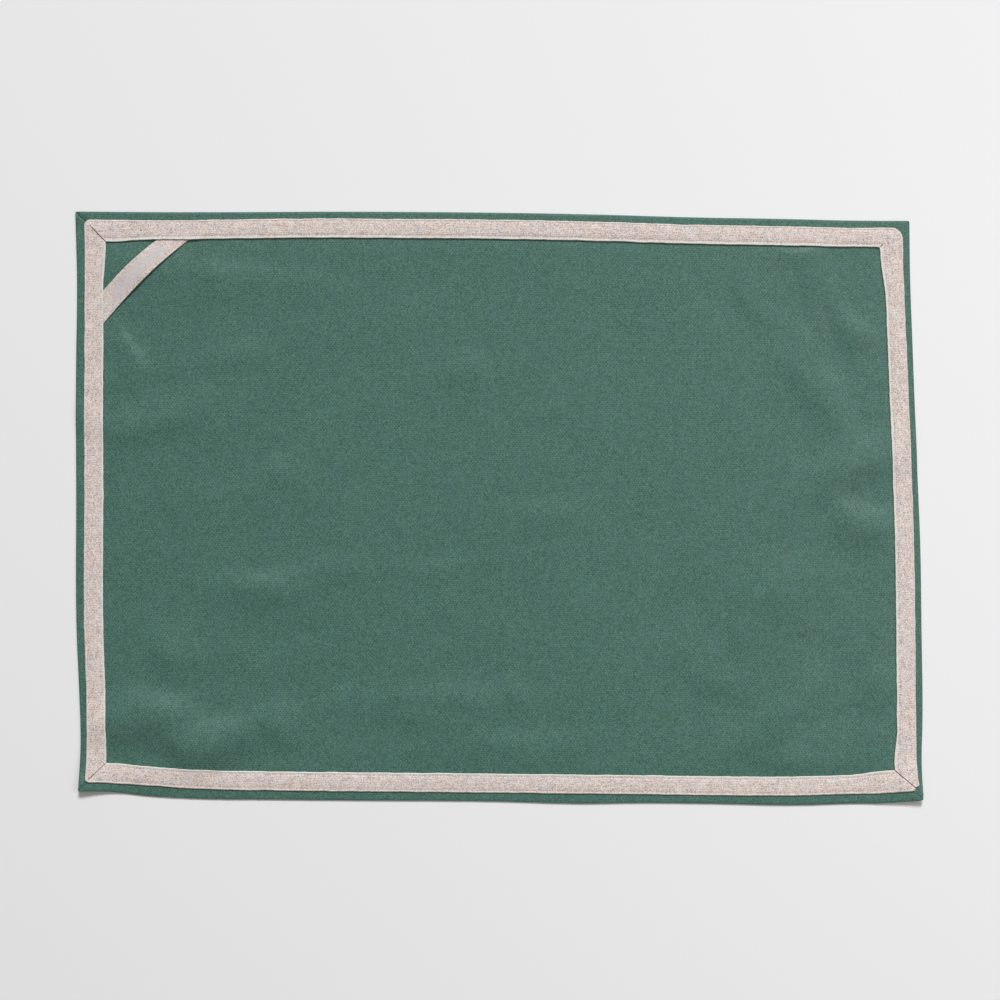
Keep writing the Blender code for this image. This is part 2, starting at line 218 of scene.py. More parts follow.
# The folds that the cloth has kept. A crest runs from one point to another and bows to its left; it
# rises from nothing at its ends, and falls off over one reach on its left and another on its right.
# Where the height is negative it is a trough.
Fold = namedtuple("Fold", "x0 y0 x1 y1 bow height above below")
FOLDS = (
    # lower left
    Fold(-216, -113, -142, -131, 14, 3.74, 22, 21),
    Fold(-172, -127, -116, -105, -3, 2.37, 16, 20),
    Fold(-128, -103, -107, -126, 5, 1.61, 22, 12),
    Fold(-115, -105, -66, -87, 10, -0.85, 9, 14),
    Fold(-157, -40, -71, -30, -6, 1.58, 14, 18),
    Fold(-134, -26, 63, -16, -8, 0.31, 7, 12),
    Fold(-156, -57, -44, -34, -10, 0.27, 8, 7),
    Fold(-184, -45, -142, -80, -14, 1.04, 20, 22),
    Fold(-148, -61, -106, -96, -3, 0.3, 12, 4),
    # middle
    Fold(-19, -2, 56, 3, -3, 0.66, 9, 17),
    Fold(-31, 63, -7, 81, -6, 0.73, 22, 18),
    Fold(5, 38, 38, 51, 5, 0.23, 4, 6),
    Fold(-129, 28, -94, 40, -20, 0.58, 17, 10),
    Fold(-162, 15, -105, 66, -16, -0.83, 22, 14),
    Fold(-66, -32, -10, -21, -5, 0.23, 3, 9),
    Fold(-89, -99, 50, -99, 0, 0.94, 12, 18),
    Fold(-74, -110, 16, -122, 6, 0.55, 9, 13),
    Fold(-50, -118, 68, -118, -5, 0.96, 13, 17),
    Fold(-37, -68, -9, -67, -4, 0.47, 7, 9),
    Fold(3, -102, 18, -96, 7, 0.51, 13, 18),
    # right
    Fold(142, -6, 236, 36, 9, 1.83, 18, 16),
    Fold(164, 2, 209, -13, -1, 1.83, 13, 22),
    Fold(113, -48, 183, -45, 8, 0.98, 22, 19),
    Fold(83, -71, 131, -95, -2, 0.87, 22, 13),
    Fold(176, -93, 197, -106, 7, 1.12, 22, 14),
    Fold(98, -117, 205, -120, -8, 0.95, 19, 11),
    Fold(113, -81, 171, -47, 10, 0.85, 18, 20),
    Fold(125, -127, 166, -78, -3, 1.47, 16, 15),
    # upper right
    Fold(158, 151, 207, 75, -14, 0.61, 8, 13),
    Fold(145, 103, 182, 30, 2, 1.25, 11, 22),
    Fold(138, 86, 204, 15, -6, 0.38, 11, 19),
    Fold(116, 135, 147, 85, -5, 0.48, 13, 9),
    Fold(135, 131, 168, 131, -2, 0.7, 5, 9),
    Fold(155, 127, 173, 69, -2, 0.58, 7, 6),
    Fold(181, 73, 197, 92, 6, 0.66, 19, 8),
    # upper left
    Fold(-225, 132, -79, 111, -2, 0.93, 14, 17),
    Fold(-199, 101, -175, 66, -2, 0.68, 3, 21),
    Fold(-216, 73, -175, 73, 13, 0.21, 3, 7),
    Fold(-213, 59, -180, 80, -5, 1.42, 12, 16),
    Fold(-236, 54, -138, 58, -13, 1.46, 19, 14),
    Fold(-160, 73, -113, 82, -1, 0.68, 11, 9),
    Fold(-186, 108, -102, 96, 5, 0.23, 7, 9),
)
FOLD_TAPER = 1.3
FOLD_STRAY = 2.0
FOLD_STRAY_WIDTH = 21.0
FOLD_VARIES = 0.5
Curl = namedtuple("Curl", "x y height reach")
CURLS = (Curl(-215.0, -144.5, 3.2, 30), Curl(216.8, -149.0, 2.7, 34))

# The cloth's own unevenness, as the height and width of its swells, which rise more than they sink.
# It is calmer in an oval above the middle, and near the edges, which the tape holds flat.
Swell = namedtuple("Swell", "height width")
UNEVEN = (Swell(0.4, 52.0), Swell(0.25, 21.0), Swell(0.07, 8.5))
CALM_X = 15.0
CALM_Y = 65.0
CALM_LENGTH = 140.0
CALM_WIDTH = 90.0
CALM_SHARE = 0.7
UNEVEN_UP = 0.6
HELD_EDGE = 14.0
HELD_FLAT = 0.3
HELD_SHARE = 0.12
UNDERSIDE_CLEAR = 0.06


def read_side(rows, column, at):
    """Reads one column of a side's table at many places, smoothly between its rows."""
    places = np.array([row.along for row in rows], dtype=float)
    values = np.array([getattr(row, column) for row in rows], dtype=float)
    slopes = np.gradient(values, places)
    k = np.clip(np.searchsorted(places, at) - 1, 0, len(rows) - 2)
    span = places[k + 1] - places[k]
    t = (at - places[k]) / span
    start_pull = t * (1.0 - t) ** 2 * span * slopes[k]
    end_pull = t * t * (t - 1.0) * span * slopes[k + 1]
    return values[k] + (values[k + 1] - values[k]) * t * t * (3.0 - 2.0 * t) + start_pull + end_pull


def place(a, b):
    """Moves points of the true rectangle to where they lie on the uneven mat."""
    right_share = a / MAT_LENGTH + 0.5
    top_share = b / MAT_WIDTH + 0.5
    left_shift = read_side(LEFT, "edge", b) + HALF_LENGTH
    right_shift = read_side(RIGHT, "edge", b) - HALF_LENGTH
    bottom_shift = read_side(BOTTOM, "edge", a) + HALF_WIDTH
    top_shift = read_side(TOP, "edge", a) - HALF_WIDTH
    x = a + left_shift * (1.0 - right_share) + right_shift * right_share
    y = b + bottom_shift * (1.0 - top_share) + top_shift * top_share
    return x, y


def swell(share):
    """A soft hump: 1 at its crest, 0 from its reach outwards."""
    return 0.5 + 0.5 * np.cos(np.pi * np.minimum(share, 1.0))


def grain(x, y, width, seed):
    """Smooth unevenness between -1 and 1, whose swells are about the given width."""
    return np.array([noise.noise((px / width, py / width, seed)) for px, py in zip(x, y)])


def fold_height(fold, x, y):
    """How far one fold lifts the cloth."""
    run_x = fold.x1 - fold.x0
    run_y = fold.y1 - fold.y0
    length = math.hypot(run_x, run_y)
    share = np.clip(((x - fold.x0) * run_x + (y - fold.y0) * run_y) / length ** 2, 0.0, 1.0)
    aside = ((y - fold.y0) * run_x - (x - fold.x0) * run_y) / length
    off_crest = aside - 4.0 * fold.bow * share * (1.0 - share)
    reach = np.where(off_crest > 0.0, fold.above, fold.below)
    risen = np.sin(np.pi * share) ** FOLD_TAPER
    return fold.height * risen * swell(np.abs(off_crest) / reach)


def inset_of(a, b):
    """How far in from the nearest side of the true rectangle a point lies."""
    return np.minimum(HALF_LENGTH - np.abs(a), HALF_WIDTH - np.abs(b))


def lie(x, y):
    """Height of the mat's underside: its folds, curled corners and unevenness."""
    strayed_x = x + FOLD_STRAY * grain(x, y, FOLD_STRAY_WIDTH, seed=1.3)
    strayed_y = y + FOLD_STRAY * grain(x, y, FOLD_STRAY_WIDTH, seed=8.6)
    folds = np.zeros_like(x)
    for fold in FOLDS:
        folds += fold_height(fold, strayed_x, strayed_y)
    height = UNDERSIDE_CLEAR + folds * (1.0 + FOLD_VARIES * grain(x, y, FOLD_STRAY_WIDTH, seed=4.2))
    for curl in CURLS:
        away = np.hypot(x - curl.x, y - curl.y)
        height += curl.height * np.maximum(0.0, 1.0 - away / curl.reach) ** 2
    from_calm = np.hypot((x - CALM_X) / CALM_LENGTH, (y - CALM_Y) / CALM_WIDTH)
    freed = np.clip(inset_of(x, y) / HELD_EDGE - HELD_FLAT, 0.0, 1.0)
    held = HELD_SHARE + (1.0 - HELD_SHARE) * freed
    rough = (1.0 - CALM_SHARE * swell(from_calm)) * held
    for number, (rise, width) in enumerate(UNEVEN):
        height += rough * rise * (UNEVEN_UP + grain(x, y, width, seed=3.7 * number + 0.4))
    return np.maximum(height, UNDERSIDE_CLEAR)


def points_of(piece):
    """The piece's points in millimetres, one row for each axis."""
    flat = np.empty(len(piece.data.vertices) * 3)
    piece.data.vertices.foreach_get("co", flat)
    return flat.reshape(-1, 3).T / MM


def put_points(piece, x, y, z):
    """Moves the piece's points to these places, in millimetres."""
    piece.data.vertices.foreach_set("co", (np.stack((x, y, z), axis=1) * MM).ravel())
    piece.data.update()


def select_only(piece):
    """Selects one piece, in object mode, and makes it the active one."""
    deselect()
    piece.select_set(True)
    bpy.context.view_layer.objects.active = piece


def finish_mesh(piece, smooth_angle):
    """Faces that point out, smooth but for true corners."""
    select_only(piece)
    bpy.ops.object.mode_set(mode="EDIT")
    bpy.ops.mesh.select_all(action="SELECT")
    bpy.ops.mesh.normals_make_consistent(inside=False)
    bpy.ops.object.mode_set(mode="OBJECT")
    bpy.ops.object.shade_smooth_by_angle(angle=math.radians(smooth_angle))


def select_rim(piece):
    """Selects the open edge of a sheet in edit mode."""
    bpy.ops.mesh.select_all(action="DESELECT")
    sheet = bmesh.from_edit_mesh(piece.data)
    for edge in sheet.edges:
        edge.select_set(edge.is_boundary)
    bmesh.update_edit_mesh(piece.data)


def narrow_rim(across, half):
    """Draws the line next to a sheet's rim close to it, so that the hem's mitre is a crisp one."""
    from_rim = half - np.abs(across)
    next_line = (from_rim > RIM_ITSELF) & (from_rim < RIM_REACH)
    return np.where(next_line, np.sign(across) * (half - RIM_LINE), across)


deselect()
bpy.ops.mesh.primitive_grid_add(x_subdivisions=CANVAS_COLUMNS, y_subdivisions=CANVAS_ROWS, size=1.0)
canvas = bpy.context.object
canvas.name = "hemmed_canvas"
flat_x, flat_y, flat_z = points_of(canvas) * MM
finer = FINER_AT_EDGES / (2.0 * np.pi)
fold_x = HALF_LENGTH - LAYER_STEP
fold_y = HALF_WIDTH - LAYER_STEP
flat_x = 2.0 * fold_x * (flat_x + finer * np.sin(2.0 * np.pi * flat_x))
flat_y = 2.0 * fold_y * (flat_y + finer * np.sin(2.0 * np.pi * flat_y))
put_points(canvas, narrow_rim(flat_x, fold_x), narrow_rim(flat_y, fold_y), flat_z)

# The edge is turned up round its fold, then laid back over the field as the hem, ring by ring.
fold_turns = [math.pi * step / FOLD_STEPS for step in range(1, FOLD_STEPS + 1)]
turn_rings = [(LAYER_STEP - FOLD_RADIUS * math.sin(turn), FOLD_RADIUS * (1.0 - math.cos(turn)))
              for turn in fold_turns]
hem_rings = turn_rings + [(inset, LAYER_STEP) for inset in HEM_RINGS]
bpy.ops.object.mode_set(mode="EDIT")
select_rim(canvas)
last_inset = LAYER_STEP
last_height = 0.0
for inset, height in hem_rings:
    bpy.ops.mesh.extrude_region_move()
    wider_x = (HALF_LENGTH - inset) / (HALF_LENGTH - last_inset)
    wider_y = (HALF_WIDTH - inset) / (HALF_WIDTH - last_inset)
    bpy.ops.transform.resize(value=(wider_x, wider_y, 1.0), center_override=(0.0, 0.0, 0.0))
    bpy.ops.transform.translate(value=(0.0, 0.0, (height - last_height) * MM))
    last_inset = inset
    last_height = height
bpy.ops.object.mode_set(mode="OBJECT")


def round_corners(a, b):
    """Rounds the corners of the true rectangle, each as much as it is worn."""
    lower = np.where(a < 0.0, ROUND_LOWER_LEFT, ROUND_LOWER_RIGHT)
    radius = np.where(b < 0.0, lower, ROUND_TOP)
    in_a = np.maximum(np.abs(a) - (HALF_LENGTH - radius), 0.0)
    in_b = np.maximum(np.abs(b) - (HALF_WIDTH - radius), 0.0)
    ring = np.maximum(in_a, in_b)
    away = np.hypot(in_a, in_b)
    shrink = np.where(away > 0.0, ring / np.maximum(away, 1e-9), 1.0)
    return a - np.sign(a) * in_a * (1.0 - shrink), b - np.sign(b) * in_b * (1.0 - shrink)


# The hem's mitre at each corner: how deep its seam is on the left and on the right, where it is
# pressed shut, how far it reaches, and how far its line leans towards the lower side inside the
# folded edge. The hem ripples between its stitches only where it shows outside the tape.
MITRE_LEFT = 0.47
MITRE_RIGHT = 0.06
MITRE_REACH = 0.5
MITRE_LEAN = 0.15
MITRE_LINE = 0.05
LEAN_FROM = 1.0
HEM_RIPPLE = Swell(0.08, 5.0)
HEM_SHOWS = 3.4

a, b, z = points_of(canvas)
inset_a = HALF_LENGTH - np.abs(a)
inset_b = HALF_WIDTH - np.abs(b)
on_hem = z > FOLD_RADIUS
off_mitre = np.abs(inset_a - inset_b) / math.sqrt(2.0)
mitre_depth = np.where(a < 0.0, MITRE_LEFT, MITRE_RIGHT)
z = z - np.where(on_hem, mitre_depth * swell(off_mitre / MITRE_REACH), 0.0)
rippled = on_hem & (inset_of(a, b) < HEM_SHOWS)
z = z + np.where(rippled, HEM_RIPPLE.height * grain(a, b, HEM_RIPPLE.width, seed=9.1), 0.0)
leaning = on_hem & (a < 0.0) & (off_mitre < MITRE_LINE) & (inset_a > LEAN_FROM)
a, b = round_corners(a, b)
a = a - np.where(leaning, MITRE_LEAN * np.sign(b), 0.0)
b = b - np.where(leaning, MITRE_LEAN, 0.0)
x, y = place(a, b)
put_points(canvas, x, y, z + lie(x, y) + CLOTH_LAYER / 2.0)
thickness = canvas.modifiers.new("cloth_layer", "SOLIDIFY")
thickness.thickness = CLOTH_LAYER * MM
thickness.offset = 0.0
select_only(canvas)
bpy.ops.object.modifier_apply(modifier="cloth_layer")
finish_mesh(canvas, smooth_angle=60)

# Cotton-linen canvas, plain woven and piece dyed: matt blue-green, with a restless grain of lighter and
# darker threads, short slubs both ways, and dark specks of painted shade where the weave is open. Each
# crossing's crown is painted lighter and the gaps between threads darker, as painted highlight and shade
# on the weave. The warp lies 0.77 mm apart and the weft 1.02 mm. Its fibre ends, under 0.1 mm, are drawn
# 0.46 mm wide to show.
# Its slubs change from thread to thread, and the warp has others than the weft.
WARP_STEP = 0.77
WEFT_STEP = 1.02
THREAD_WANDER = 0.9
WANDER_WIDTH = 17.0
SLUB_LENGTH = 6.0
SLUB_CHANGE = 0.73
WARP_SLUBS = 3.5
WEFT_SLUBS = 9.5
FIBRE_STEP = 0.46
DYE_PATCH = 5.0
CLOUD_WIDTH = 30.0
SPECKS_FROM = 0.975
CANVAS_WARM_HEX = "5D6C64"
CANVAS_COOL_HEX = "476C6B"

# A cloth's dark, middle and light tone follow the sum of its patterns, each counted by its weight:
# the middle one lies at the centre and the others one reach away. A tint comes in while its own
# pattern goes from start to full, up to a share of most.
Tones = namedtuple("Tones", "dark middle light centre reach")
Counted = namedtuple("Counted", "pattern weight")
Tint = namedtuple("Tint", "pattern start full most colour blend")
CANVAS_TONES = Tones("1D443A", "476A5E", "648A7F", 0.64, 0.53)


def plain_weave(tree, in_mm, warp_step, weft_step, slub_length):
    """Plain weave: how light each crossing's top thread is, if it is a warp thread, and its height."""
    per_thread = (1.0 / warp_step, 1.0 / weft_step, 0.0)
    counted = node(tree, "VectorMath", {"operation": "MULTIPLY"}, i0=in_mm, i1=per_thread).outputs[0]
    crossing = node(tree, "VectorMath", {"operation": "FLOOR"}, i0=counted).outputs[0]
    warp_count, weft_count, _ = node(tree, "SeparateXYZ", Vector=crossing).outputs
    across_warp, along_warp, _ = node(tree, "SeparateXYZ", Vector=in_mm).outputs
    both = node(tree, "Math", {"operation": "ADD"}, i0=warp_count, i1=weft_count).outputs[0]
    warp_on_top = node(tree, "Math", {"operation": "FLOORED_MODULO"}, i0=both, i1=2.0).outputs[0]
    slubs = []
    for count, along, row in ((weft_count, across_warp, WEFT_SLUBS),
                              (warp_count, along_warp, WARP_SLUBS)):
        number = node(tree, "Math", {"operation": "MULTIPLY"}, i0=count, i1=SLUB_CHANGE).outputs[0]
        run = node(tree, "Math", {"operation": "DIVIDE"}, i0=along, i1=slub_length).outputs[0]
        slub_place = node(tree, "CombineXYZ", X=number, Y=run, Z=row).outputs[0]
        slubs.append(node(tree, "TexNoise", Vector=slub_place, Scale=1.0, Detail=2.0).outputs["Fac"])
    top_thread = node(tree, "Mix", {"data_type": "FLOAT"}, i0=warp_on_top, i2=slubs[0],
                      i3=slubs[1]).outputs[0]
    turns = node(tree, "VectorMath", {"operation": "SCALE"}, i0=counted, Scale=math.pi).outputs[0]
    waves = node(tree, "VectorMath", {"operation": "SINE"}, i0=turns).outputs[0]
    warp_wave, weft_wave, _ = node(tree, "SeparateXYZ", Vector=waves).outputs
    crown = node(tree, "Math", {"operation": "MULTIPLY"}, i0=warp_wave, i1=weft_wave).outputs[0]
    crown = node(tree, "Math", {"operation": "ABSOLUTE"}, i0=crown).outputs[0]
    return top_thread, warp_on_top, crown


def strayed(tree, in_mm, stray, width):
    """The pattern's place, led astray as threads are when cloth is washed."""
    wander = node(tree, "TexNoise", Vector=in_mm, Scale=1.0 / width, Detail=1.0).outputs["Color"]
    off = node(tree, "VectorMath", {"operation": "SUBTRACT"}, i0=wander, i1=(0.5, 0.5, 0.5)).outputs[0]
    return node(tree, "VectorMath", {"operation": "MULTIPLY_ADD"}, i0=off,
                i1=(2.0 * stray, 2.0 * stray, 0.0), i2=in_mm).outputs[0]


def fibre_ends(tree, in_mm, step):
    """A random value and colour for each small square of cloth, as fibre ends give it."""
    per_fibre = (1.0 / step, 1.0 / step, 0.0)
    counted = node(tree, "VectorMath", {"operation": "MULTIPLY"}, i0=in_mm, i1=per_fibre).outputs[0]
    cell = node(tree, "VectorMath", {"operation": "FLOOR"}, i0=counted).outputs[0]
    return node(tree, "TexWhiteNoise", {"noise_dimensions": "3D"}, Vector=cell)


def soft_patches(tree, in_mm, width):
    """Three unlike patterns of soft patches, each patch about as wide as given."""
    patches = node(tree, "TexNoise", Vector=in_mm, Scale=1.0 / width, Detail=2.0, Roughness=0.6)
    return node(tree, "SeparateColor", Color=patches.outputs["Color"]).outputs


def three_tones(tree, tones, patterns):
    """The cloth's colour, from dark through middle to light with the sum of its patterns."""
    tone = 0.0
    for pattern, weight in patterns:
        tone = node(tree, "Math", {"operation": "MULTIPLY_ADD"}, i0=pattern, i1=weight,
                    i2=tone).outputs[0]
    colour = (*linear(tones.dark), 1.0)
    for start, next_hex in ((tones.centre - tones.reach, tones.middle), (tones.centre, tones.light)):
        share = node(tree, "MapRange", Value=tone, From_Min=start,
                     From_Max=start + tones.reach).outputs[0]
        colour = node(tree, "Mix", {"data_type": "RGBA"}, i0=share, i6=colour,
                      i7=(*linear(next_hex), 1.0)).outputs[2]
    return colour


def tinted(tree, colour, tints):
    """The colour after each tint has come in where its own pattern asks for it."""
    for tint in tints:
        share = node(tree, "MapRange", Value=tint.pattern, From_Min=tint.start, From_Max=tint.full,
                     To_Max=tint.most).outputs[0]
        colour = node(tree, "Mix", {"data_type": "RGBA", "blend_type": tint.blend}, i0=share,
                      i6=colour, i7=(*linear(tint.colour), 1.0)).outputs[2]
    return colour


dyed_canvas = new_material("cotton_linen_canvas_piece_dyed")
tree = dyed_canvas.node_tree
in_metres = node(tree, "TexCoord").outputs["Object"]
in_mm = node(tree, "VectorMath", {"operation": "SCALE"}, i0=in_metres, Scale=1.0 / MM).outputs[0]
bent = strayed(tree, in_mm, THREAD_WANDER, WANDER_WIDTH)
top_thread, warp_on_top, crown = plain_weave(tree, bent, WARP_STEP, WEFT_STEP, SLUB_LENGTH)
fibres = fibre_ends(tree, in_mm, FIBRE_STEP)
open_weave_shade = node(tree, "SeparateColor", Color=fibres.outputs["Color"]).outputs[1]
mottle = node(tree, "TexNoise", Vector=in_mm, Scale=1.0, Detail=2.0, Roughness=0.6).outputs["Fac"]
clouds = node(tree, "TexNoise", Vector=in_mm, Scale=1.0 / CLOUD_WIDTH, Detail=3.0,
              Roughness=0.6).outputs["Fac"]
patch = soft_patches(tree, in_mm, DYE_PATCH)
# The crown term paints highlight on each crossing's raised thread and shade between the threads.
colour = three_tones(tree, CANVAS_TONES, (
    Counted(fibres.outputs["Value"], 0.54), Counted(top_thread, 0.28), Counted(mottle, 0.06),
    Counted(clouds, 0.10), Counted(warp_on_top, 0.16), Counted(crown, 0.16),
))
colour = tinted(tree, colour, (
    # Dark specks of painted shade where the weave is open.
    Tint(open_weave_shade, SPECKS_FROM, 1.0, 0.9, CANVAS_TONES.dark, "MIX"),
    Tint(patch[0], 0.5, 0.8, 0.2, CANVAS_WARM_HEX, "MIX"),
    Tint(patch[1], 0.5, 0.8, 0.4, CANVAS_COOL_HEX, "MIX"),
))
relief = crown
for pattern, weight in (Counted(top_thread, 0.6), Counted(mottle, 0.2)):
    relief = node(tree, "Math", {"operation": "MULTIPLY_ADD"}, i0=pattern, i1=weight,
                  i2=relief).outputs[0]
bump = node(tree, "Bump", Strength=0.24, Distance=0.2 * MM, Height=relief).outputs[0]
shader = node(tree, "BsdfPrincipled", Base_Color=colour, Roughness=0.42, Specular_IOR_Level=0.28,
              Normal=bump)
node(tree, "OutputMaterial", Surface=shader.outputs["BSDF"])
canvas.data.materials.append(dyed_canvas)

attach(canvas, "root")
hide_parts("mat_cloth")

# ------------------------------------------------
# Edging. One length of natural linen tape, 10 mm wide, sewn flat over the hem's raw edge all
# round. It is folded into a mitre at two corners, eased round at the upper right, and its two cut
# ends meet at the lower right.
# ------------------------------------------------
TAPE_WIDTH = 9.8
TAPE_LIFT = 0.05
TAPE_STEP = 1.0
FIELD_START = 18.0
HEM_TURN_IN = 10.5
HEM_STEP = 0.15
FILL_FADE = 22.0
BULK_REACH = 11.0
LEAD_STEPS = 9
FIRST_GAP = 0.1
EDGE_WAVER = 0.24
EDGE_WAVER_WIDTH = 11.0
EDGE_FUZZ = 0.14
EDGE_FUZZ_WIDTH = 2.3
TAPE_SEAM_HALF = 0.27
TAPE_SEAM_WAVE = 0.5
TAPE_SEAM_WAVE_WIDTH = 3.5
SWELLS_UP = 0.5

# The tape's section, from its edge inwards: distance from that edge, and how high its lower and
# upper side lie. Both edges are firm selvedges, a row of sewing pulls the tape in beside each, and
# the inner edge stands a little off the field.
Line = namedtuple("Line", "inset low high")
OUTER_SECTION = (
    Line(0.0, 0.12, 0.34),
    Line(0.10, 0.02, 0.47),
    Line(0.35, 0.0, 0.55),
    Line(0.7, 0.0, 0.53),
    Line(0.95, 0.0, 0.42),
    Line(1.15, 0.0, 0.37),
    Line(1.35, 0.0, 0.42),
    Line(1.7, 0.0, 0.51),
    Line(2.5, 0.0, 0.55),
    Line(4.0, 0.0, 0.54),
)
INNER_SECTION = (
    Line(0.0, 0.38, 0.58),
    Line(0.10, 0.28, 0.74),
    Line(0.35, 0.20, 0.75),
    Line(0.9, 0.06, 0.58),
    Line(1.2, 0.0, 0.45),
    Line(1.4, 0.0, 0.40),
    Line(1.6, 0.0, 0.44),
    Line(2.0, 0.0, 0.51),
    Line(3.0, 0.0, 0.53),
)
OUTER_SEWING = 1.15
INNER_SEWING = 1.4

# The corners: how round the tape turns, how far the bulk of its fold widens the run along x and the
# run along y and lifts them, how deep its mitre is, how far its slot gapes to each side, where
# across the tape it begins, and how its inner corner is filled.
Corner = namedtuple("Corner", "side_x side_y radius fill_x fill_y bulk mitre slot mitre_from inner_fill")
LOWER_LEFT = Corner(-1, -1, 2.2, 0.5, 0.5, 0.15, 0.45, 0.13, 0.05, 0.0)
UPPER_LEFT = Corner(-1, 1, 3.4, 1.6, 1.1, 0.20, 0.48, 0.34, 0.2, 0.0)
UPPER_RIGHT = Corner(1, 1, 6.0, 0.0, 2.0, 0.15, 0.26, 0.4, 0.78, 0.4)
LOWER_RIGHT = Corner(1, -1, 0.0, 1.7, 1.7, 0.40, 0.0, 0.0, 0.0, 0.0)
CORNERS = (LOWER_LEFT, UPPER_LEFT, UPPER_RIGHT, LOWER_RIGHT)
SLOT_WALL = 0.1
DEEPEST_MITRE = 0.5
GROOVE_FADE = 0.08
GROOVE_MARGIN = 0.02
ARC_STEPS = 4

# The cut ends: the outer edge of each, as distances back from the corner that the two runs would
# make, and how far along the inner edge each of their cross lines lies.
Cut = namedtuple("Cut", "back_a back_b inner")
BOTTOM_END = (
    Cut(1.3, 1.7, 0.0),
    Cut(1.55, 1.0, 0.35),
    Cut(2.0, 0.2, 0.8),
    Cut(3.2, 0.1, 1.3),
    Cut(4.6, 0.0, 1.8),
    Cut(6.0, 0.0, 2.4),
)
RIGHT_END = (
    Cut(1.3, 1.7, 0.0),
    Cut(0.5, 2.2, 0.35),
    Cut(-0.5, 3.0, 0.8),
    Cut(-0.3, 4.2, 1.3),
    Cut(-0.1, 5.3, 1.8),
    Cut(0.0, 6.5, 2.4),
)

# The loop's two edges, from its end under the left run of tape to its end under the top run.
Edge = namedtuple("Edge", "x0 y0 x1 y1 bow")
LOOP_UPPER = Edge(-204.5, 109.0, -171.9, 139.8, 1.2)
LOOP_LOWER = Edge(-204.5, 91.8, -155.5, 139.8, 2.0)
LOOP_COVER_FLAT = 6.5
LOOP_COVER_FADE = 11.0
LOOP_TOP = 0.5

CrossLine = namedtuple("CrossLine", "outer inner groove groove_from leg")


def border_of(side_x, side_y, at):
    """Bare cloth outside the tape on the side that faces this way."""
    rows = {(-1, 0): LEFT, (1, 0): RIGHT, (0, -1): BOTTOM, (0, 1): TOP}[side_x, side_y]
    return float(read_side(rows, "border", np.float64(at)))


def tape_width_at(side_x, side_y, at):
    """Width of one run of tape, which widens a little towards a corner that fills its turn."""
    width = TAPE_WIDTH
    half = HALF_LENGTH if side_y else HALF_WIDTH
    for corner in CORNERS:
        if corner.side_y == side_y if side_y else corner.side_x == side_x:
            corner_at = half * (corner.side_x if side_y else corner.side_y)
            from_turn = max(abs(at - corner_at) - FIELD_START, 0.0)
            fill = corner.fill_x if side_y else corner.fill_y
            width += fill * float(swell(from_turn / FILL_FADE))
    return width


def run_lines(side_x, side_y):
    """Cross lines of one straight run of tape, in the true rectangle."""
    half = HALF_LENGTH if side_y else HALF_WIDTH
    count = int(round(2.0 * (half - FIELD_START) / TAPE_STEP))
    lines = []
    for at in np.linspace(FIELD_START - half, half - FIELD_START, count + 1):
        border = border_of(side_x, side_y, at)
        covered = border + tape_width_at(side_x, side_y, at)
        ends = [(at, side_y * (HALF_WIDTH - inset)) if side_y else (side_x * (HALF_LENGTH - inset), at)
                for inset in (border, covered)]
        lines.append(CrossLine(*ends, 0.0, 0.0, (side_x, side_y)))
    return lines


def corner_insets(corner):
    """Where the tape's two lines lie at a corner, as distances from the mat's two edges."""
    last_row = corner.side_y * (HALF_WIDTH - FIELD_START)
    last_column = corner.side_x * (HALF_LENGTH - FIELD_START)
    outer_a = border_of(corner.side_x, 0, last_row)
    outer_b = border_of(0, corner.side_y, last_column)
    inner_a = outer_a + tape_width_at(corner.side_x, 0, last_row)
    inner_b = outer_b + tape_width_at(0, corner.side_y, last_column)
    return outer_a, outer_b, inner_a, inner_b


def corner_line(corner, back_a, back_b, past_a, past_b, groove, on_x_run):
    """One cross line at a corner, from its distances back along the outer and the inner edge."""
    outer_a, outer_b, inner_a, inner_b = corner_insets(corner)
    outer = (corner.side_x * (HALF_LENGTH - outer_a - back_a),
             corner.side_y * (HALF_WIDTH - outer_b - back_b))
    inner = (corner.side_x * (HALF_LENGTH - inner_a - past_a),
             corner.side_y * (HALF_WIDTH - inner_b - past_b))
    leg = (0, corner.side_y) if on_x_run else (corner.side_x, 0)
    return CrossLine(outer, inner, groove, corner.mitre_from, leg)


def turn_half(corner, on_x_run):
    """Cross lines from the middle of a turn out to where the run begins."""
    quarter = math.pi / 4.0
    half_arc = corner.radius * quarter
    offsets = [0.0, corner.slot, corner.slot + SLOT_WALL]
    offsets += list(np.linspace(offsets[-1], half_arc, ARC_STEPS + 1)[1:])
    lines = []
    for offset in offsets:
        turn = quarter + (offset / corner.radius if on_x_run else -offset / corner.radius)
        back_a = corner.radius * (1.0 - math.cos(turn))
        back_b = corner.radius * (1.0 - math.sin(turn))
        groove = corner.mitre if offset <= corner.slot else 0.0
        filled = corner.inner_fill * (1.0 - offset / half_arc) ** 2
        past_a = filled + (offset if on_x_run else 0.0)
        past_b = filled + (0.0 if on_x_run else offset)
        lines.append(corner_line(corner, back_a, back_b, past_a, past_b, groove, on_x_run))
    return lines


def end_half(corner, cuts, on_x_run):
    """Cross lines from one cut end of the tape out to where its run begins."""
    return [corner_line(corner, cut.back_a, cut.back_b, cut.inner if on_x_run else 0.0,
                        0.0 if on_x_run else cut.inner, 0.0, on_x_run) for cut in cuts]


def led_in(lines, run_line):
    """Adds evenly spaced lines between a turn and the first line of its run."""
    start = np.array(lines[-1][:2])
    stop = np.array(run_line[:2])
    return lines + [CrossLine(*(start * (1.0 - share) + stop * share), 0.0, 0.0, run_line.leg)
                    for share in np.linspace(0.0, 1.0, LEAD_STEPS + 1)[1:-1]]


